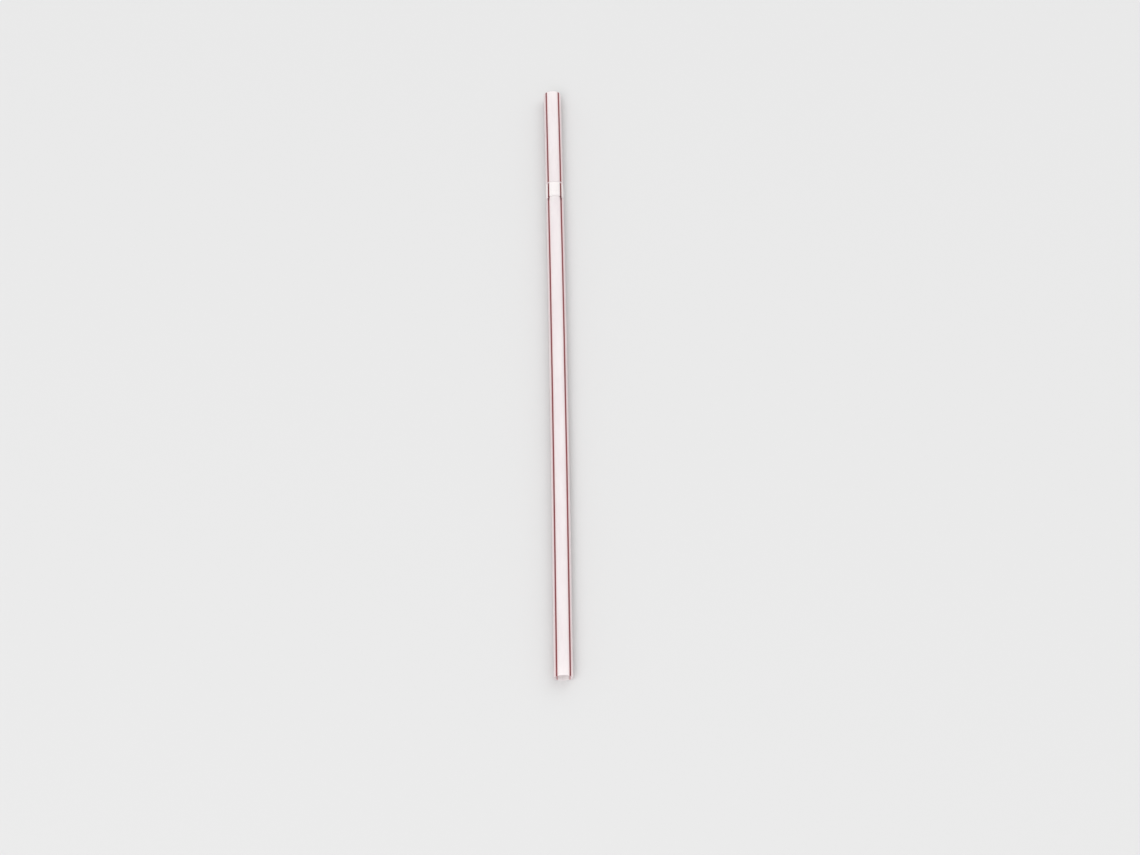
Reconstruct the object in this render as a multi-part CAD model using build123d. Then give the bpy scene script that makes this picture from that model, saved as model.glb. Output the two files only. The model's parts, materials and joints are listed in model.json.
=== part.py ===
from build123d import *
import os
from math import asin, atan2, cos, degrees, sin

# Flexible drinking straw, extruded and folded as one piece of thin plastic tube.
# Millimetres, Z up. The straw lies along Y on the surface it rests on, with the drinking end at
# the high end of Y and the foot, which stands in the drink, at the low end. The origin is under
# the middle of its box.

# Tube
overall_length = 210.0
outer_diameter = 6.0
wall = 0.15

# Neck, folded together as the straw is sold. The folds lie in one another like stacked cups:
# each has a round nose that points at the foot and hides the creased root behind it. So fine a
# nose is drawn as short flats, with their corners on its round.
drinking_length = 36.0  # drinking rim to the first nose
fold_count = 12
fold_pitch = 0.5
fold_depth = 0.55  # from the noses down to the outside of the roots
nose_rise_flats = 2  # from a long flank up to the crest of the nose
nose_fall_flats = 3  # from the crest down to the short flank
root_tuck = 0.1  # outside of each root behind the tip of its nose
root_flat_count = 2  # flats that the inside of each root is pressed into
shoulder_radius = 0.6  # where the last flank rises into the long tube

# Set: no straw is quite straight, and this one is bent a little to low X halfway along, where its
# two straight runs meet
bend_degrees = 0.6

outer_radius = outer_diameter / 2
bore_radius = outer_radius - wall
root_radius = outer_radius - fold_depth
last_nose = drinking_length + (fold_count - 1) * fold_pitch
shoulder_centre = Vector(last_nose + shoulder_radius, outer_radius - shoulder_radius)

# The half section is drawn with X along the straw from the drinking rim and Y out from its axis.
# Headings are in radians from X, and the wall is followed from the drinking rim to the foot, so
# the outer face is on the left of the way and the inner face on the right.


def along(heading):
    """Unit vector along a heading."""
    return Vector(cos(heading), sin(heading))


def left_of(heading):
    """Unit vector square to a heading, towards the outer face."""
    return Vector(-sin(heading), cos(heading))


def nose_centre(fold):
    """Middle of a fold's round nose, which is also the crease inside it."""
    return Vector(drinking_length + fold * fold_pitch - wall, bore_radius)


def root_crease(fold):
    """Crease outside a fold's root."""
    return Vector(drinking_length + fold * fold_pitch - root_tuck, root_radius)


def next_round(fold):
    """Centre and outer radius of what a long flank runs onto: the next nose, or the shoulder."""
    if fold + 1 < fold_count:
        return nose_centre(fold + 1), wall
    return shoulder_centre, shoulder_radius


def short_heading(fold):
    """Heading of the short flank, from a fold's nose back in to its root."""
    run = root_crease(fold) - nose_centre(fold)
    return atan2(run.Y, run.X) - asin(wall / run.length)


def long_heading(fold):
    """Heading of the long flank, from a fold's root out to the next nose or the shoulder."""
    centre, radius = next_round(fold)
    run = centre - root_crease(fold)
    return atan2(run.Y, run.X) + asin(radius / run.length)


def nose_corners(fold):
    """Corners of the flats outside a nose. The first nose goes on level from the drinking tube."""
    fall = [short_heading(fold) * step / nose_fall_flats for step in range(nose_fall_flats + 1)]
    rise = []
    if fold > 0:
        start = long_heading(fold - 1)
        rise = [start * (1 - step / nose_rise_flats) for step in range(nose_rise_flats)]
    return [nose_centre(fold) + left_of(heading) * wall for heading in rise + fall]


def root_corners(fold):
    """Corners of the flats inside a root, which lie one wall from the crease outside it."""
    first, last = short_heading(fold), long_heading(fold)
    corner_count = root_flat_count + 1
    half_turn = (last - first) / corner_count / 2
    headings = [first + half_turn + corner * 2 * half_turn for corner in range(corner_count)]
    return [root_crease(fold) - left_of(heading) * (wall / cos(half_turn)) for heading in headings]


def face_edges(points, inset):
    """Edges of one face of the wall: through the neck, over the shoulder and on to the foot."""
    heading, radius = long_heading(fold_count - 1), shoulder_radius - inset
    start = shoulder_centre + left_of(heading) * radius
    end = shoulder_centre + left_of(0) * radius
    shoulder = TangentArc(start, end, tangent=along(heading))
    foot = Vector(overall_length, outer_radius - inset)
    return [*Polyline(*points, start).edges(), shoulder, Line(end, foot)]


def outer_face():
    """Edges of the wall's outer face."""
    points = [Vector(0, outer_radius)]
    for fold in range(fold_count):
        points += [*nose_corners(fold), root_crease(fold)]
    return face_edges(points, 0)


def inner_face():
    """Edges of the wall's inner face."""
    points = [Vector(0, bore_radius)]
    for fold in range(fold_count):
        points += [nose_centre(fold), *root_corners(fold)]
    return face_edges(points, wall)


def straw_section():
    """Half section of the whole straw, with its two square-cut rims."""
    rims = [Line((end, bore_radius), (end, outer_radius)) for end in (0, overall_length)]
    return make_face(outer_face() + inner_face() + rims)


def straight_straw():
    """The half section turned about Y, with the middle of the straw at the origin."""
    drinking_rim = (0, overall_length / 2, 0)
    section_plane = Plane(origin=drinking_rim, x_dir=(0, -1, 0), z_dir=(-1, 0, 0))
    return revolve(section_plane * straw_section(), axis=Axis.Y)


def straw():
    """The straw with its two runs mitred where it bends, laid on the surface."""
    straight = straight_straw()
    mitre = Plane.XZ.rotated((0, 0, bend_degrees / 2))
    foot_run = split(straight, bisect_by=mitre, keep=Keep.TOP)
    neck_run = split(straight.rotate(Axis.Z, bend_degrees), bisect_by=mitre, keep=Keep.BOTTOM)
    joined = foot_run + neck_run
    box = joined.bounding_box()
    return Pos(-box.center().X, -box.center().Y, -box.min.Z) * joined


solid = straw()
os.makedirs("parts", exist_ok=True)
export_step(solid, "parts/straw.step")

neck_radius = min(corner.Y for corner in root_corners(0))
print(f"volume {solid.volume:.1f} mm3, neck {2 * neck_radius:.2f} mm clear")
print(f"flanks at {degrees(long_heading(0)):.1f} and {degrees(short_heading(0)):.1f} degrees")
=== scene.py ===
"""Looks of a flexible drinking straw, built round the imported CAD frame.

One tube replaces the CAD node. It has the same sizes, with each fold of the neck rounded inside and
out, the cut rims eased and the CAD's bend spread into a gentle bow. Metres, Z up, in the CAD's frame.
"""
import json
import logging
from dataclasses import dataclass, field
from enum import Enum
from math import asin, atan2, ceil, cos, hypot, pi, radians, sin, tau
from typing import Any, Mapping, NamedTuple, Sequence, Union

import bmesh
import bpy
from mathutils import Matrix, Vector


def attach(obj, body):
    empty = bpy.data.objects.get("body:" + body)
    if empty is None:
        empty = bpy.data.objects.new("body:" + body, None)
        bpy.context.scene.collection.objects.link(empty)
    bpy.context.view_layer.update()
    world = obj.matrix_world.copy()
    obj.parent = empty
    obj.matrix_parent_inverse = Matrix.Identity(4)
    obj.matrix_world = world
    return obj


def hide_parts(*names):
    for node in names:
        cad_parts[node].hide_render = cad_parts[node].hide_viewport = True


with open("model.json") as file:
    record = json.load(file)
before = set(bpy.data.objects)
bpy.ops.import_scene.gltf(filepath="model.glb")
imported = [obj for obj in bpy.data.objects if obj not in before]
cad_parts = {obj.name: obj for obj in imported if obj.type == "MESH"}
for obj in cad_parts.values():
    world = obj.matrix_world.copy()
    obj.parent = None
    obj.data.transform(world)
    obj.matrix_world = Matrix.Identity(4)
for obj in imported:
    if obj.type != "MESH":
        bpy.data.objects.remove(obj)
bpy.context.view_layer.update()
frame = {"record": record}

log = logging.getLogger("straw")

MM = 0.001
UP = Vector((0, 0, 1))
NOISE_MIDDLE = 0.5
WHITE = (1.0, 1.0, 1.0)

Span = tuple[float, float]
SectionPoint = tuple[float, float]
Spot = tuple[float, float, float]
Colour = tuple[float, float, float]
Value = Union["Shade", float]
Tone = Union["Shade", Colour]


class MathOp(Enum):
    """Operations of the Math node that the finishes use."""

    ADD = "ADD"
    SUBTRACT = "SUBTRACT"
    MULTIPLY = "MULTIPLY"
    ABSOLUTE = "ABSOLUTE"


class VectorOp(Enum):
    """Operations of the Vector Math node that the finishes use."""

    MULTIPLY = "MULTIPLY"
    NORMALIZE = "NORMALIZE"


class Axis(Enum):
    """Parts of a vector."""

    X = "X"
    Y = "Y"
    Z = "Z"


class Side(Enum):
    """Side of the way that a bend's centre lies on, as the sign of the turn."""

    LEFT = 1
    RIGHT = -1


class Shade:
    """A value from a node, for use in Python expressions that add Math nodes."""

    def __init__(self, sheet: "NodeSheet", socket: bpy.types.NodeSocket) -> None:
        """Hold an output socket of a sheet."""
        self.sheet = sheet
        self.socket = socket

    def __add__(self, other: Value) -> "Shade":
        """Sum of two values."""
        return self.sheet.math(MathOp.ADD, self, other)

    def __radd__(self, other: float) -> "Shade":
        """Sum of a number and a value."""
        return self.sheet.math(MathOp.ADD, other, self)

    def __sub__(self, other: Value) -> "Shade":
        """Difference of two values."""
        return self.sheet.math(MathOp.SUBTRACT, self, other)

    def __rsub__(self, other: float) -> "Shade":
        """A number less a value."""
        return self.sheet.math(MathOp.SUBTRACT, other, self)

    def __mul__(self, other: Value) -> "Shade":
        """Product of two values."""
        return self.sheet.math(MathOp.MULTIPLY, self, other)

    def __rmul__(self, other: float) -> "Shade":
        """Product of a number and a value."""
        return self.sheet.math(MathOp.MULTIPLY, other, self)

    def __abs__(self) -> "Shade":
        """Value without its sign."""
        return self.sheet.math(MathOp.ABSOLUTE, self)

    def rise(self, start: float, end: float) -> "Shade":
        """Smooth step of the value.

        Args:
            start: Value up to which the step is 0.
            end: Value from which the step is 1.

        Returns:
            The step, between 0 and 1.
        """
        ends = {"Value": self, "From Min": start, "From Max": end}
        return self.sheet.node("ShaderNodeMapRange", {"interpolation_type": "SMOOTHSTEP"}, ends)

    def lifted(self, least: float) -> "Shade":
        """Squeeze a value between 0 and 1 into the span from a least value to 1."""
        return least + (1 - least) * self


class Grain(NamedTuple):
    """A noise that is stretched along the straw.

    Attributes:
        across: Grains in a metre across the straw.
        along: Grains in a metre along the straw.
        detail: Number of finer layers.
    """

    across: float
    along: float
    detail: float


class NodeSheet:
    """Node tree of one material.

    Attributes:
        MIX_SHARE: Place of the Mix node's socket for the share.
        MIX_FIRST: Place of its socket for the first colour.
        MIX_SECOND: Place of its socket for the second colour.
        MIX_RESULT: Place of its output for the mixed colour.
    """

    MIX_SHARE = 0
    MIX_FIRST = 6
    MIX_SECOND = 7
    MIX_RESULT = 2

    def __init__(self, name: str) -> None:
        """Start an empty tree for a new material.

        Args:
            name: Name of the material.
        """
        self.material = bpy.data.materials.new(name)
        self.material.use_nodes = True
        self.tree = self.material.node_tree
        self.tree.nodes.clear()

    def add(
        self, kind: str, settings: Mapping[str, Any], inputs: Mapping[str | int, Any]
    ) -> bpy.types.Node:
        """Add a node of any kind.

        Args:
            kind: Blender's type name of the node.
            settings: Properties of the node, which are set first.
            inputs: Values or links of its sockets, by name or place.

        Returns:
            The node.
        """
        made = self.tree.nodes.new(kind)
        for name, setting in settings.items():
            setattr(made, name, setting)
        for name, value in inputs.items():
            if isinstance(value, Shade):
                self.tree.links.new(value.socket, made.inputs[name])
            else:
                made.inputs[name].default_value = value
        return made

    def node(
        self,
        kind: str,
        settings: Mapping[str, Any],
        inputs: Mapping[str | int, Any],
        output: str | int = 0,
    ) -> Shade:
        """Add a node and take one of its outputs.

        Args:
            kind: Blender's type name of the node.
            settings: Properties of the node, which are set first.
            inputs: Values or links of its sockets, by name or place.
            output: The output, by name or place.

        Returns:
            The output's value.
        """
        return Shade(self, self.add(kind, settings, inputs).outputs[output])

    def math(self, op: MathOp, *values: Value) -> Shade:
        """Add a Math node that works on values in order."""
        return self.node("ShaderNodeMath", {"operation": op.value}, dict(enumerate(values)))

    def vector(self, op: VectorOp, *values: Shade | Spot) -> Shade:
        """Add a Vector Math node that works on vectors in order."""
        return self.node("ShaderNodeVectorMath", {"operation": op.value}, dict(enumerate(values)))

    def part(self, vector: Shade, axis: Axis) -> Shade:
        """Take one part of a vector."""
        return self.node("ShaderNodeSeparateXYZ", {}, {"Vector": vector}, axis.value)

    def attribute(self, name: str, output: str) -> Shade:
        """Read an attribute of the mesh as one of the node's outputs."""
        return self.node("ShaderNodeAttribute", {"attribute_name": name}, {}, output)

    def mix_colours(self, share: Value, first: Tone, second: Tone) -> Shade:
        """Mix two colours.

        Args:
            share: Part of the second colour, from 0 to 1.
            first: Colour where the share is 0.
            second: Colour where the share is 1.

        Returns:
            The mixed colour.
        """
        inputs = {
            self.MIX_SHARE: share,
            self.MIX_FIRST: opaque(first),
            self.MIX_SECOND: opaque(second),
        }
        return self.node("ShaderNodeMix", {"data_type": "RGBA"}, inputs, self.MIX_RESULT)

    def noise(self, place: Shade, grain: Grain) -> Shade:
        """Add a noise.

        Args:
            place: Places on the straight straw.
            grain: How the noise is stretched.

        Returns:
            The noise, between 0 and 1.
        """
        stretch = (grain.across, grain.along, grain.across)
        spot = self.vector(VectorOp.MULTIPLY, place, stretch)
        inputs = {"Vector": spot, "Scale": 1.0, "Detail": grain.detail}
        return self.node("ShaderNodeTexNoise", {}, inputs)

    def finish(self, surface: Shade) -> bpy.types.Material:
        """Send a shader to the material's output.

        Args:
            surface: The shader.

        Returns:
            The finished material.
        """
        self.add("ShaderNodeOutputMaterial", {}, {"Surface": surface})
        return self.material


def opaque(tone: Tone) -> Any:
    """A colour with the alpha that a socket asks for, or a link as it is."""
    return tone if isinstance(tone, Shade) else (*tone, 1.0)


class Stop(NamedTuple):
    """A point of the wall's section and the heading of the wall there."""

    along: float
    radius: float
    heading: float


@dataclass(frozen=True)
class Bend:
    """A round bend of the wall's middle line.

    Attributes:
        along: Distance of the centre from the drinking rim.
        radius: Distance of the centre from the straw's axis.
        size: Radius of the bend.
        side: Side of the way that the centre lies on.
    """

    along: float
    radius: float
    size: float
    side: Side

    def heading_to(self, other: "Bend") -> float:
        """Heading of the straight flank that touches this bend and the next.

        Args:
            other: The next bend on the way.

        Returns:
            Heading in radians from the straw's axis.
        """
        run, rise = other.along - self.along, other.radius - self.radius
        reach = other.side.value * other.size - self.side.value * self.size
        return atan2(rise, run) - asin(reach / hypot(run, rise))

    def stops(self, start: float, end: float, widest_step: float) -> list[Stop]:
        """Points along the bend.

        Args:
            start: Heading at which the way meets the bend.
            end: Heading at which it leaves the bend.
            widest_step: Largest turn between two points.

        Returns:
            The points in order, with both ends.
        """
        count = max(1, ceil(abs(end - start) / widest_step))
        turns = [start + (end - start) * step / count for step in range(count + 1)]
        arm = self.side.value * self.size
        return [Stop(self.along + arm * sin(t), self.radius - arm * cos(t), t) for t in turns]


@dataclass(frozen=True)
class FoldedNeck:
    """The folds of the neck, pressed together like stacked cups.

    Attributes:
        start: Distance of the first nose's tip from the drinking rim.
        count: Number of folds.
        pitch: Distance from nose to nose.
        depth: Distance from the noses down to the outside of the roots.
        root_tuck: Distance of each root behind the tip of its nose.
        nose_crease: Radius inside each nose.
        root_crease: Radius outside each root.
        shoulder: Outside radius where the last flank rises into the long tube.
        slack: Unevenness of the pitch, as the folds were pushed together by hand.
    """

    start: float
    count: int = 12
    pitch: float = 0.5 * MM
    depth: float = 0.55 * MM
    root_tuck: float = 0.1 * MM
    nose_crease: float = 0.07 * MM
    root_crease: float = 0.03 * MM
    shoulder: float = 0.6 * MM
    slack: float = 0.015 * MM

    @property
    def end(self) -> float:
        """Distance of the shoulder from the drinking rim."""
        return self.start + (self.count - 1) * self.pitch + self.shoulder

    def bends(self, outer_radius: float, wall: float) -> list[Bend]:
        """Bends of the wall's middle line, from the first nose to the shoulder.

        Args:
            outer_radius: Radius of the plain tube.
            wall: Thickness of the wall.

        Returns:
            The bends in order.
        """
        nose_arm = self.nose_crease + wall
        nose, root = self.nose_crease + wall / 2, self.root_crease + wall / 2
        root_radius = outer_radius - self.depth + self.root_crease
        made = []
        for fold in range(self.count):
            tip = self.start + fold * self.pitch + self.slack * sin(fold * fold)
            made.append(Bend(tip - nose_arm, outer_radius - nose_arm, nose, Side.RIGHT))
            made.append(Bend(tip - self.root_tuck, root_radius, root, Side.LEFT))
        shoulder = self.shoulder - wall / 2
        made.append(Bend(self.end, outer_radius - self.shoulder, shoulder, Side.RIGHT))
        return made


@dataclass(frozen=True)
class WallSection:
    """Half section of the straw's wall.

    A point of the section is its distance from the drinking rim and its radius.

    Attributes:
        length: Length of the straw.
        outer_radius: Radius of the plain tube.
        wall: Thickness of the wall.
        neck: The folds.
        rim_ease: Radius of the corners of the cut rims.
        ease_steps: Number of steps round such a corner.
        ring_gap: Largest distance between the rings of the plain tube.
        bend_step: Largest turn between two points of a bend.
    """

    length: float
    outer_radius: float
    wall: float
    neck: FoldedNeck
    rim_ease: float = 0.03 * MM
    ease_steps: int = 3
    ring_gap: float = 6.0 * MM
    bend_step: float = radians(24)

    def plain_run(self, start: float, end: float) -> list[Stop]:
        """Points along a run of plain tube, without its ends.

        Args:
            start: Distance of the run's start from the drinking rim.
            end: Distance of its end.

        Returns:
            The points in order.
        """
        count = ceil((end - start) / self.ring_gap)
        middle = self.outer_radius - self.wall / 2
        return [Stop(start + (end - start) * step / count, middle, 0.0) for step in range(1, count)]

    def middle_line(self) -> list[Stop]:
        """Points along the middle of the wall.

        Returns:
            The points from the drinking rim to the foot.
        """
        bends = self.neck.bends(self.outer_radius, self.wall)
        flanks = [a.heading_to(b) for a, b in zip(bends, bends[1:])]
        middle = self.outer_radius - self.wall / 2
        first, last = self.rim_ease, self.length - self.rim_ease
        line = [Stop(first, middle, 0.0), *self.plain_run(first, bends[0].along)]
        for bend, start, end in zip(bends, [0.0, *flanks], [*flanks, 0.0]):
            line += bend.stops(start, end, self.bend_step)
        return [*line, *self.plain_run(bends[-1].along, last), Stop(last, middle, 0.0)]

    def face(self, offset: float) -> list[SectionPoint]:
        """Points of one face of the wall.

        Args:
            offset: Distance of the face out from the middle of the wall.

        Returns:
            The points from the drinking rim to the foot.
        """
        return [
            (stop.along - offset * sin(stop.heading), stop.radius + offset * cos(stop.heading))
            for stop in self.middle_line()
        ]

    def outer_face(self) -> list[SectionPoint]:
        """Points of the outer face, from the drinking rim to the foot."""
        return self.face(self.wall / 2)

    def inner_face(self) -> list[SectionPoint]:
        """Points of the inner face, from the drinking rim to the foot."""
        return self.face(-self.wall / 2)

    def foot_rim(self) -> list[SectionPoint]:
        """Points round the foot's cut rim.

        Returns:
            The points from the outer face to the inner one.
        """
        outer, inner = self.outer_radius - self.rim_ease, self.outer_radius - self.wall + self.rim_ease
        quarter = [pi / 2 * (1 - step / self.ease_steps) for step in range(1, self.ease_steps + 1)]
        along = self.length - self.rim_ease
        turns = [(outer, t) for t in quarter] + [(inner, -t) for t in reversed(quarter)]
        return [(along + self.rim_ease * cos(t), c + self.rim_ease * sin(t)) for c, t in turns]

    def outline(self) -> list[SectionPoint]:
        """Points round the whole section.

        Returns:
            The points along the outer face, round the foot, back along the inner face and round
            the drinking rim.
        """
        foot_rim = self.foot_rim()
        drinking_rim = [(self.length - along, radius) for along, radius in reversed(foot_rim)]
        return [*self.outer_face(), *foot_rim, *reversed(self.inner_face()), *drinking_rim]

    def outsides(self) -> list[float]:
        """Tell the outer half of the wall from the inner half.

        Returns:
            1 for each point of the outline on the outer half, and 0 for the others.
        """
        face = len(self.outer_face())
        half_rim = self.ease_steps
        return [1.0] * (face + half_rim) + [0.0] * (face + 2 * half_rim) + [1.0] * half_rim


@dataclass(frozen=True)
class Bow:
    """Gentle arc that the straw's axis follows from its foot to its drinking rim.

    Attributes:
        foot: Middle of the foot's rim.
        foot_way: Unit vector along the axis at the foot, into the straw.
        rim: Middle of the drinking rim.
        rim_way: Unit vector along the axis at the drinking rim, out of the straw.
    """

    foot: Vector
    foot_way: Vector
    rim: Vector
    rim_way: Vector

    @property
    def turn(self) -> float:
        """Angle that the axis turns by from end to end."""
        return self.foot_way.angle(self.rim_way)

    @property
    def radius(self) -> float:
        """Radius of the arc."""
        return (self.rim - self.foot).length / 2 / sin(self.turn / 2)

    @property
    def length(self) -> float:
        """Length of the axis."""
        return self.radius * self.turn

    def place(self, side: float, along: float, up: float) -> Vector:
        """Where a point of the straight straw comes to lie.

        Args:
            side: Distance from the axis to the right of the way from the foot.
            along: Distance from the foot.
            up: Distance above the axis.

        Returns:
            The point in the frame.
        """
        turned = along / self.radius
        left = UP.cross(self.foot_way)
        right = self.foot_way * sin(turned) - left * cos(turned)
        ahead = self.foot_way * (self.radius * sin(turned))
        aside = left * (2 * self.radius * sin(turned / 2) ** 2)
        return self.foot + ahead + aside + right * side + UP * up


@dataclass(frozen=True)
class Band:
    """A band round the straw that fades at both ends.

    Attributes:
        fade_in: Start and end of the fade towards the foot, from a landmark.
        fade_out: Start and end of the fade towards the drinking rim, from a landmark.
    """

    fade_in: Span
    fade_out: Span

    def mask(self, along: Shade, foot_mark: float, rim_mark: float) -> Shade:
        """Mask of the band.

        Args:
            along: Distance from the foot.
            foot_mark: Landmark of the fade towards the foot, as such a distance.
            rim_mark: Landmark of the fade towards the drinking rim.

        Returns:
            1 in the band and 0 outside it.
        """
        past_start = along.rise(foot_mark + self.fade_in[0], foot_mark + self.fade_in[1])
        past_end = along.rise(rim_mark + self.fade_out[0], rim_mark + self.fade_out[1])
        return past_start - past_end


class Masks(NamedTuple):
    """Where the features of the straw's wall show, each from 0 to 1.

    Attributes:
        outside: Outer half of the wall.
        stripe: Stripes, faded out at the lip of the neck.
        tint: Stripes and the wall beside them.
        flush: Flanks of the tube, given painted pink light that stands in for the stripes below seen
            through the wall.
        folds: Folds of the neck.
        shoulder_shade_and_pigment: Shoulder of the neck, where the stripes are darker: partly painted
            shade of its groove, partly pigment that collected there.
        cloud: Uneven thickness of the wall.
        lines: Lines that the die left along the tube.
        fleck: Fine uneven spots.
    """

    outside: Shade
    stripe: Shade
    tint: Shade
    flush: Shade
    folds: Shade
    shoulder_shade_and_pigment: Shade
    cloud: Shade
    lines: Shade
    fleck: Shade


@dataclass(frozen=True)
class StripedPlastic:
    """Milky plastic with stripes of pigment run through the wall.

    The shader reads where each point lies on the straight straw: X to the side and Z up from the
    axis, and Y from the foot.

    Attributes:
        place: Name of the mesh attribute that holds those places.
        skin: Name of the mesh attribute that is 1 on the wall's outside and 0 on its inside.
        milk: Colour of the plain wall.
        dense_milk: Colour of the wall where it is a little thicker.
        inner_milk: Colour of the wall on its inside, which holds no pigment.
        tint: Colour of the wall close to a stripe, from pigment that ran into it, and of the pink light
            painted on the tube's flanks.
        pigment: Colour of the stripes.
        deep_pigment: Colour of the stripes where the pigment is dense, and of the painted shade in the
            shoulder's groove.
        veiled_pigment: Colour of the stripes on the inside, behind the milky layer.
        crazed: Colour of the folds, whitened where the plastic was stretched.
        glow: Colour of the light that comes through the wall.
        stripe_width: Width of a stripe on the outside.
        stripe_edge: Width of a stripe's soft edge.
        tint_reach: How far the tint reaches from a stripe.
        shoulder_widening: How much wider a stripe is on each side at the shoulder, for the painted
            shade of its groove and the pigment there.
        wander: How far the stripes stray sideways, as an angle.
        folds: Folds of the neck, from the shoulder and the first nose.
        lip: Edge of the drinking tube, from the first nose, where the stripes' ends fade out.
        shoulder_shade_and_pigment: Part round the shoulder where the stripes are darkened, partly as
            painted shade of its groove, partly by pigment that collected there.
        cloud: Grain of the wall's uneven thickness.
        die_lines: Grain of the lines along the tube.
        fleck: Grain of the fine spots.
        stray: Grain of the stripes' wandering.
        noise_span: Values between which a noise passes from none to full.
        painted_flank_pink_span: The same for how far a point faces to the side, which places the
            painted pink light on the flanks.
        tint_share: Share of the tint beside a stripe.
        painted_flank_pink_share: Share of the tint on the tube's flanks, painted there as pink light
            from the stripes below.
        least_crazed: Least share of the whitening on the folds.
        least_lip: Least share of a stripe that fades out at the lip.
        dense_share: Share of dense pigment along the die's lines.
        let_through: Share of the light that the plain wall's outside lets through.
        inner_let_through: The same for the inside, which is clearer.
        fold_let_through: The same for the folds, which lie on one another.
        stripe_let_through: The same for a stripe.
        roughness: Roughness of the plain wall.
        line_roughness: How much the die's lines change it.
        fold_roughness: How much rougher the folds are.
        line_height: Height of the die's lines.
        refraction: Index of refraction.
    """

    place: str = "straight_place"
    skin: str = "outside"
    milk: Colour = (0.88, 0.82, 0.83)
    dense_milk: Colour = (0.91, 0.865, 0.87)
    inner_milk: Colour = (0.96, 0.93, 0.935)
    tint: Colour = (0.88, 0.66, 0.67)
    pigment: Colour = (0.22, 0.010, 0.014)
    deep_pigment: Colour = (0.12, 0.005, 0.008)
    veiled_pigment: Colour = (0.76, 0.47, 0.48)
    crazed: Colour = (0.955, 0.92, 0.91)
    glow: Colour = (0.98, 0.945, 0.945)
    stripe_width: float = 0.72 * MM
    stripe_edge: float = 0.12 * MM
    tint_reach: float = 0.8 * MM
    shoulder_widening: float = 0.15 * MM
    wander: float = 0.05
    folds: Band = Band((-0.6 * MM, 1.2 * MM), (-0.5 * MM, 0.3 * MM))
    lip: Band = Band((-0.5 * MM, -0.1 * MM), (0.1 * MM, 0.3 * MM))
    shoulder_shade_and_pigment: Band = Band((-1.3 * MM, 0.1 * MM), (0.4 * MM, 0.7 * MM))
    cloud: Grain = Grain(across=0.35 / MM, along=0.06 / MM, detail=3.0)
    die_lines: Grain = Grain(across=2.6 / MM, along=0.012 / MM, detail=2.0)
    fleck: Grain = Grain(across=3.5 / MM, along=2.0 / MM, detail=2.0)
    stray: Grain = Grain(across=0.1 / MM, along=0.03 / MM, detail=1.0)
    noise_span: Span = (0.35, 0.65)
    painted_flank_pink_span: Span = (0.55, 0.95)
    tint_share: float = 0.35
    painted_flank_pink_share: float = 0.25
    least_crazed: float = 0.5
    least_lip: float = 0.6
    dense_share: float = 0.5
    let_through: float = 0.34
    inner_let_through: float = 0.46
    fold_let_through: float = 0.12
    stripe_let_through: float = 0.10
    roughness: float = 0.30
    line_roughness: float = 0.14
    fold_roughness: float = 0.10
    line_height: float = 0.012 * MM
    refraction: float = 1.49

    def around(self, sheet: NodeSheet, place: Shade) -> tuple[Shade, Shade]:
        """Direction of each point from the straw's axis.

        Args:
            sheet: Tree to add to.
            place: Places on the straight straw.

        Returns:
            Its parts to the side and up.
        """
        from_axis = sheet.vector(VectorOp.MULTIPLY, place, (1, 0, 1))
        out = sheet.vector(VectorOp.NORMALIZE, from_axis)
        return sheet.part(out, Axis.X), sheet.part(out, Axis.Z)

    def stripes(self, nearness: Shade, shoulder_shade_and_pigment: Shade, outer_radius: float) -> tuple[Shade, Shade]:
        """Masks of the stripes and of the tint beside them.

        Args:
            nearness: How near a stripe's middle is, as the cosine of twice the angle to it.
            shoulder_shade_and_pigment: Where the shoulder's stripes are darkened and widened, partly as
                painted shade, partly by pigment.
            outer_radius: Radius of the tube.

        Returns:
            The stripes, and the tint on both sides of them.
        """

        def at(width: float) -> float:
            """Nearness at this distance from the middle of a stripe."""
            return cos(2 * width / outer_radius)

        half, edge = self.stripe_width / 2, self.stripe_edge / 2
        # Stripes widened at the shoulder, partly as painted shade of its groove.
        widened = nearness + (at(half) - at(half + self.shoulder_widening)) * shoulder_shade_and_pigment
        stripe = widened.rise(at(half + edge), at(half - edge))
        return stripe, nearness.rise(at(half + self.tint_reach), at(half))

    def masks(self, sheet: NodeSheet, section: WallSection) -> Masks:
        """Find the features of a straw's wall.

        Args:
            sheet: Tree to add to.
            section: The wall's section.

        Returns:
            The masks.
        """
        place = sheet.attribute(self.place, "Vector")
        along = sheet.part(place, Axis.Y)
        side, up = self.around(sheet, place)
        fleck = sheet.noise(place, self.fleck)
        stray = (sheet.noise(place, self.stray) - NOISE_MIDDLE) * (2 * self.wander)
        nearness = abs(2 * side * up + stray * (up * up - side * side))
        shoulder, first_nose = section.length - section.neck.end, section.length - section.neck.start
        lip = self.lip.mask(along, first_nose, first_nose)
        # Band of painted shade and pigment round the shoulder's groove.
        shoulder_shade_and_pigment = self.shoulder_shade_and_pigment.mask(along, shoulder, shoulder)
        stripe, tint = self.stripes(nearness, shoulder_shade_and_pigment, section.outer_radius)
        return Masks(
            outside=sheet.attribute(self.skin, "Fac"),
            stripe=stripe * (1 - lip * fleck.lifted(self.least_lip)),
            tint=tint,
            # Painted pink light on the tube's flanks, by how far each point faces to the side.
            flush=abs(side).rise(*self.painted_flank_pink_span),
            folds=self.folds.mask(along, shoulder, first_nose),
            shoulder_shade_and_pigment=shoulder_shade_and_pigment,
            cloud=sheet.noise(place, self.cloud),
            lines=sheet.noise(place, self.die_lines),
            fleck=fleck,
        )

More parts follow.
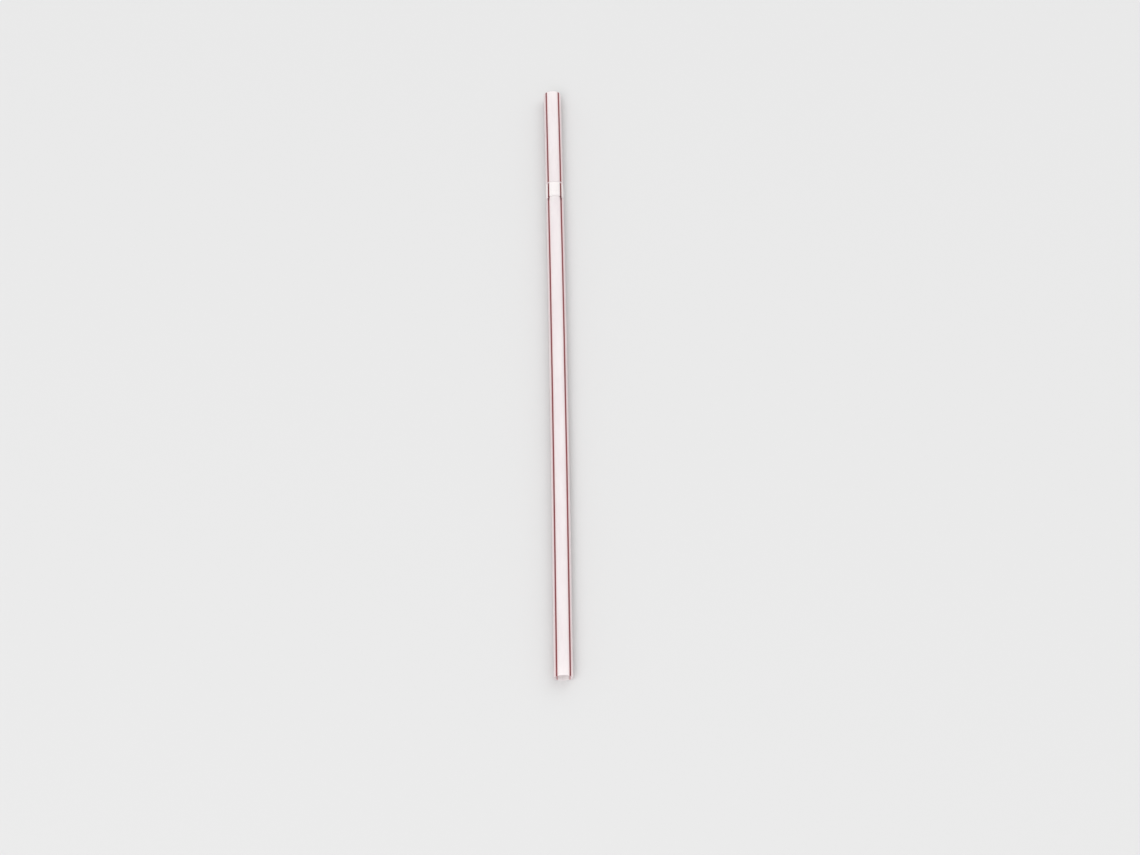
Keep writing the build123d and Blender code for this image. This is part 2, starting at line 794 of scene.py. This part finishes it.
    def wall_colour(self, sheet: NodeSheet, masks: Masks) -> Shade:
        """Colour of the wall between the stripes.

        Args:
            sheet: Tree to add to.
            masks: The wall's features.

        Returns:
            The colour.
        """
        colour = sheet.mix_colours(masks.cloud.rise(*self.noise_span), self.milk, self.dense_milk)
        # Pigment that ran beside the stripes, plus painted pink light on the flanks.
        bleed_and_painted_pink = self.tint_share * masks.tint + self.painted_flank_pink_share * masks.flush
        colour = sheet.mix_colours(bleed_and_painted_pink, colour, self.tint)
        whitened = masks.folds * masks.fleck.lifted(self.least_crazed)
        colour = sheet.mix_colours(whitened, colour, self.crazed)
        return sheet.mix_colours(masks.outside, self.inner_milk, colour)

    def stripe_colour(self, sheet: NodeSheet, masks: Masks) -> Shade:
        """Colour of the stripes.

        Args:
            sheet: Tree to add to.
            masks: The wall's features.

        Returns:
            The colour.
        """
        # Darker stripes along the die's lines, and at the shoulder partly painted shade of its groove.
        dense = self.dense_share * masks.lines.rise(*self.noise_span) + masks.shoulder_shade_and_pigment
        colour = sheet.mix_colours(dense, self.pigment, self.deep_pigment)
        return sheet.mix_colours(masks.outside, self.veiled_pigment, colour)

    def light_through(self, masks: Masks) -> Shade:
        """Share of the light that the wall lets through.

        Args:
            masks: The wall's features.

        Returns:
            The share.
        """
        share = self.let_through - (self.let_through - self.fold_let_through) * masks.folds
        share = share - (share - self.stripe_let_through) * masks.stripe
        return self.inner_let_through + (share - self.inner_let_through) * masks.outside

    def material(self, section: WallSection) -> bpy.types.Material:
        """Make the finish for a straw.

        Args:
            section: Section of the straw's wall.

        Returns:
            The material.
        """
        sheet = NodeSheet("straw_plastic")
        masks = self.masks(sheet, section)
        wall, stripe = self.wall_colour(sheet, masks), self.stripe_colour(sheet, masks)
        lined = self.line_roughness * (masks.lines - NOISE_MIDDLE)
        ridges = {"Height": masks.lines, "Distance": self.line_height}
        gloss = {
            "Base Color": sheet.mix_colours(masks.stripe, wall, stripe),
            "Roughness": self.roughness + lined + self.fold_roughness * masks.folds,
            "IOR": self.refraction,
            "Normal": sheet.node("ShaderNodeBump", {}, ridges),
        }
        layers = {
            0: self.light_through(masks),
            1: sheet.node("ShaderNodeBsdfPrincipled", {}, gloss),
            2: sheet.node("ShaderNodeBsdfTranslucent", {}, {"Color": opaque(self.glow)}),
        }
        return sheet.finish(sheet.node("ShaderNodeMixShader", {}, layers))


class Strip(NamedTuple):
    """Place on the skin's map of the strip between two rings.

    Attributes:
        column: Column of the map.
        start: Distance of the strip's start up the column.
        end: Distance of its end.
    """

    column: int
    start: float
    end: float


@dataclass
class Straw:
    """The straw: one thin tube with a folded neck.

    Attributes:
        section: Half section of its wall.
        bow: Line that its axis follows.
        plastic: Its finish.
        ring_points: Number of points in each ring of the mesh.
        map_columns: Number of columns that the skin is cut into on its map.
        map_gap: Distance between those columns.
    """

    section: WallSection
    bow: Bow
    plastic: StripedPlastic = field(default_factory=StripedPlastic)
    ring_points: int = 128
    map_columns: int = 5
    map_gap: float = 0.6 * MM

    @classmethod
    def from_record(cls, record: Mapping[str, Any]) -> "Straw":
        """Take the straw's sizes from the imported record.

        Args:
            record: The record, whose mounts give the barrel and both bores.

        Returns:
            The straw.
        """
        mounts = {mount["name"]: mount for mount in record["mounts"]}
        foot, rim, barrel = (mounts[name] for name in ("foot_bore", "drinking_bore", "barrel"))
        bow = Bow(
            foot=Vector(foot["pos_m"]),
            foot_way=-Vector(foot["axis"]).normalized(),
            rim=Vector(rim["pos_m"]),
            rim_way=Vector(rim["axis"]).normalized(),
        )
        outer_radius = barrel["dims"]["r_mm"] * MM
        wall = outer_radius - foot["dims"]["r_mm"] * MM
        neck = FoldedNeck(start=rim["dims"]["length_mm"] * MM + wall)
        return cls(WallSection(bow.length, outer_radius, wall, neck), bow)

    def straight_spots(self, outline: Sequence[SectionPoint]) -> list[Spot]:
        """Points of the straight straw, ring by ring.

        Args:
            outline: Points round the section.

        Returns:
            Distance of each point to the side, from the foot and above the axis.
        """
        turns = [tau * step / self.ring_points for step in range(self.ring_points)]
        return [
            (radius * sin(turn), self.section.length - along, radius * cos(turn))
            for along, radius in outline
            for turn in turns
        ]

    def map_strips(self, outline: Sequence[SectionPoint]) -> list[Strip]:
        """Lay the strips between the rings out in columns.

        Args:
            outline: Points round the section.

        Returns:
            Place of the strip after each ring.
        """
        onward = [*outline[1:], outline[0]]
        steps = [hypot(b[0] - a[0], b[1] - a[1]) for a, b in zip(outline, onward)]
        column_length = sum(steps) / self.map_columns
        strips, column, start = [], 0, 0.0
        for step in steps:
            if start + step / 2 > column_length and column < self.map_columns - 1:
                column, start = column + 1, 0.0
            strips.append(Strip(column, start, start + step))
            start += step
        return strips

    def add_skin(
        self, bm: bmesh.types.BMesh, points: Sequence[bmesh.types.BMVert], strips: Sequence[Strip]
    ) -> None:
        """Join the rings with faces and lay these on a square map.

        Args:
            bm: Mesh to add to.
            points: Points of the mesh, ring by ring.
            strips: Place on the map of the strip after each ring.
        """
        skin_map = bm.loops.layers.uv.new("OFBake")
        girth = tau * self.section.outer_radius
        margin = self.map_gap / 2
        tallest = max(strip.end for strip in strips)
        map_size = max(self.map_columns * (girth + self.map_gap), tallest + self.map_gap)
        count = self.ring_points
        for ring, strip in enumerate(strips):
            here, there = ring * count, (ring + 1) % len(strips) * count
            left = strip.column * (girth + self.map_gap) + margin
            low, high = strip.start + margin, strip.end + margin
            for step in range(count):
                onward = (step + 1) % count
                corners = (here + step, here + onward, there + onward, there + step)
                face = bm.faces.new([points[corner] for corner in corners])
                face.smooth = True
                near, far = left + girth * step / count, left + girth * (step + 1) / count
                spots = ((near, low), (far, low), (far, high), (near, high))
                for loop, (u, v) in zip(face.loops, spots):
                    loop[skin_map].uv = (u / map_size, v / map_size)
        bmesh.ops.recalc_face_normals(bm, faces=bm.faces)

    def mark_skin(self, mesh: bpy.types.Mesh, straight: Sequence[Spot]) -> None:
        """Write the attributes that the finish reads.

        Args:
            mesh: The tube's mesh.
            straight: Its points on the straight straw.
        """
        places = mesh.attributes.new(self.plastic.place, "FLOAT_VECTOR", "POINT")
        places.data.foreach_set("vector", [part for spot in straight for part in spot])
        outside = mesh.attributes.new(self.plastic.skin, "FLOAT", "POINT")
        halves = [half for half in self.section.outsides() for _ in range(self.ring_points)]
        outside.data.foreach_set("value", halves)

    def build(self) -> bpy.types.Object:
        """Make the tube.

        Returns:
            The tube, in place.
        """
        outline = self.section.outline()
        straight = self.straight_spots(outline)
        bm = bmesh.new()
        points = [bm.verts.new(self.bow.place(*spot)) for spot in straight]
        self.add_skin(bm, points, self.map_strips(outline))
        mesh = bpy.data.meshes.new("straw_tube")
        bm.to_mesh(mesh)
        bm.free()
        self.mark_skin(mesh, straight)
        tube = bpy.data.objects.new("straw_tube", mesh)
        bpy.context.scene.collection.objects.link(tube)
        return tube

    def dress(self, tube: bpy.types.Object) -> None:
        """Give the tube its finish and its place in the frame.

        Args:
            tube: The tube's object.
        """
        tube.data.materials.append(self.plastic.material(self.section))
        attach(tube, "root")
        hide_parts("straw")


@dataclass(frozen=True)
class Camera:
    """Camera at the photograph's viewing angle, placed by where the foot's mouth shows.

    Attributes:
        image: Width and height of the photograph in pixels.
        foot_pixel: Middle of the foot's mouth in the photograph.
        foot_depth: Distance of that mouth along the view.
        focal_pixels: Focal length in pixels.
        elevation: Angle of the view below level.
        heading: Angle of the view to the left of +Y.
        sensor_mm: Width of the sensor in millimetres.
        nearest: Distance from which the camera sees.
    """

    image: tuple[int, int] = (1140, 855)
    foot_pixel: tuple[float, float] = (563.5, 677.8)
    foot_depth: float = 0.6091
    focal_pixels: float = 1979.6
    elevation: float = radians(66.76)
    heading: float = radians(-0.842)
    sensor_mm: float = 36.0
    nearest: float = 10 * MM

    def build(self, foot: Vector) -> bpy.types.Object:
        """Make the camera.

        Args:
            foot: Middle of the foot's mouth.

        Returns:
            The camera, set as the scene's.
        """
        lens = bpy.data.cameras.new("camera")
        lens.sensor_width = self.sensor_mm
        lens.lens = self.focal_pixels / self.image[0] * self.sensor_mm
        lens.clip_start = self.nearest
        turn = Matrix.Rotation(self.heading, 3, "Z") @ Matrix.Rotation(pi / 2 - self.elevation, 3, "X")
        across = (self.foot_pixel[0] - self.image[0] / 2) / self.focal_pixels
        down = (self.foot_pixel[1] - self.image[1] / 2) / self.focal_pixels
        ray = Vector((across, -down, -1.0)) * self.foot_depth
        camera = bpy.data.objects.new("camera", lens)
        camera.matrix_world = Matrix.Translation(foot - turn @ ray) @ turn.to_4x4()
        bpy.context.scene.collection.objects.link(camera)
        bpy.context.scene.camera = camera
        return camera


@dataclass(frozen=True)
class Softbox:
    """A large soft lamp that points at the straw.

    Attributes:
        name: Name of the lamp.
        place: Where it stands.
        size: Length of its sides.
        watts: Its power.
    """

    name: str
    place: Spot
    size: float
    watts: float

    def build(self) -> None:
        """Make the lamp."""
        light = bpy.data.lights.new(self.name, "AREA")
        light.shape = "SQUARE"
        light.size = self.size
        light.energy = self.watts
        lamp = bpy.data.objects.new(self.name, light)
        lamp.location = self.place
        lamp.rotation_euler = (-Vector(self.place)).to_track_quat("-Z", "Y").to_euler()
        bpy.context.scene.collection.objects.link(lamp)


@dataclass(frozen=True)
class MattPaint:
    """Plain matt finish of the floor.

    Attributes:
        colour: Its colour.
        roughness: Its roughness.
    """

    colour: Colour = (0.63, 0.63, 0.63)
    roughness: float = 0.7

    def material(self) -> bpy.types.Material:
        """Make the finish.

        Returns:
            The material.
        """
        sheet = NodeSheet("pale_floor")
        coat = {"Base Color": opaque(self.colour), "Roughness": self.roughness}
        return sheet.finish(sheet.node("ShaderNodeBsdfPrincipled", {}, coat))


@dataclass(frozen=True)
class Studio:
    """Plain pale floor and soft light.

    Attributes:
        floor_size: Length of the floor's sides.
        floor_paint: Finish of the floor.
        sky: Strength of the even light from all round.
        softboxes: The lamps.
    """

    floor_size: float = 14.0
    floor_paint: MattPaint = MattPaint()
    sky: float = 0.82
    softboxes: tuple[Softbox, ...] = (
        Softbox("key", (-1.0, -1.4, 3.0), 2.8, 58.0),
        Softbox("fill", (1.8, 1.6, 2.6), 3.2, 25.5),
    )

    def build_floor(self) -> None:
        """Make the floor."""
        half = self.floor_size / 2
        corners = [(x, y, 0.0) for x, y in ((-half, -half), (half, -half), (half, half), (-half, half))]
        mesh = bpy.data.meshes.new("floor")
        mesh.from_pydata(corners, [], [range(len(corners))])
        mesh.materials.append(self.floor_paint.material())
        floor = bpy.data.objects.new("floor", mesh)
        bpy.context.scene.collection.objects.link(floor)

    def build_sky(self) -> None:
        """Make the even light from all round."""
        world = bpy.data.worlds.new("studio")
        world.use_nodes = True
        sky = world.node_tree.nodes["Background"]
        sky.inputs["Color"].default_value = opaque(WHITE)
        sky.inputs["Strength"].default_value = self.sky
        bpy.context.scene.world = world

    def build(self) -> None:
        """Make the floor, the lamps and the sky, and show colours as they are."""
        self.build_floor()
        for softbox in self.softboxes:
            softbox.build()
        self.build_sky()
        bpy.context.scene.view_settings.view_transform = "Standard"


def main() -> None:
    """Build the straw, its studio and its camera."""
    logging.basicConfig(level=logging.INFO, format="%(name)s: %(message)s")
    straw = Straw.from_record(frame["record"])
    tube = straw.build()
    straw.dress(tube)
    log.info("%s: %d faces, %.1f mm long", tube.name, len(tube.data.polygons), straw.bow.length / MM)
    Studio().build()
    camera = Camera().build(straw.bow.foot)
    log.info("%s: %.1f mm lens", camera.name, camera.data.lens)


if __name__ == "__main__":
    main()
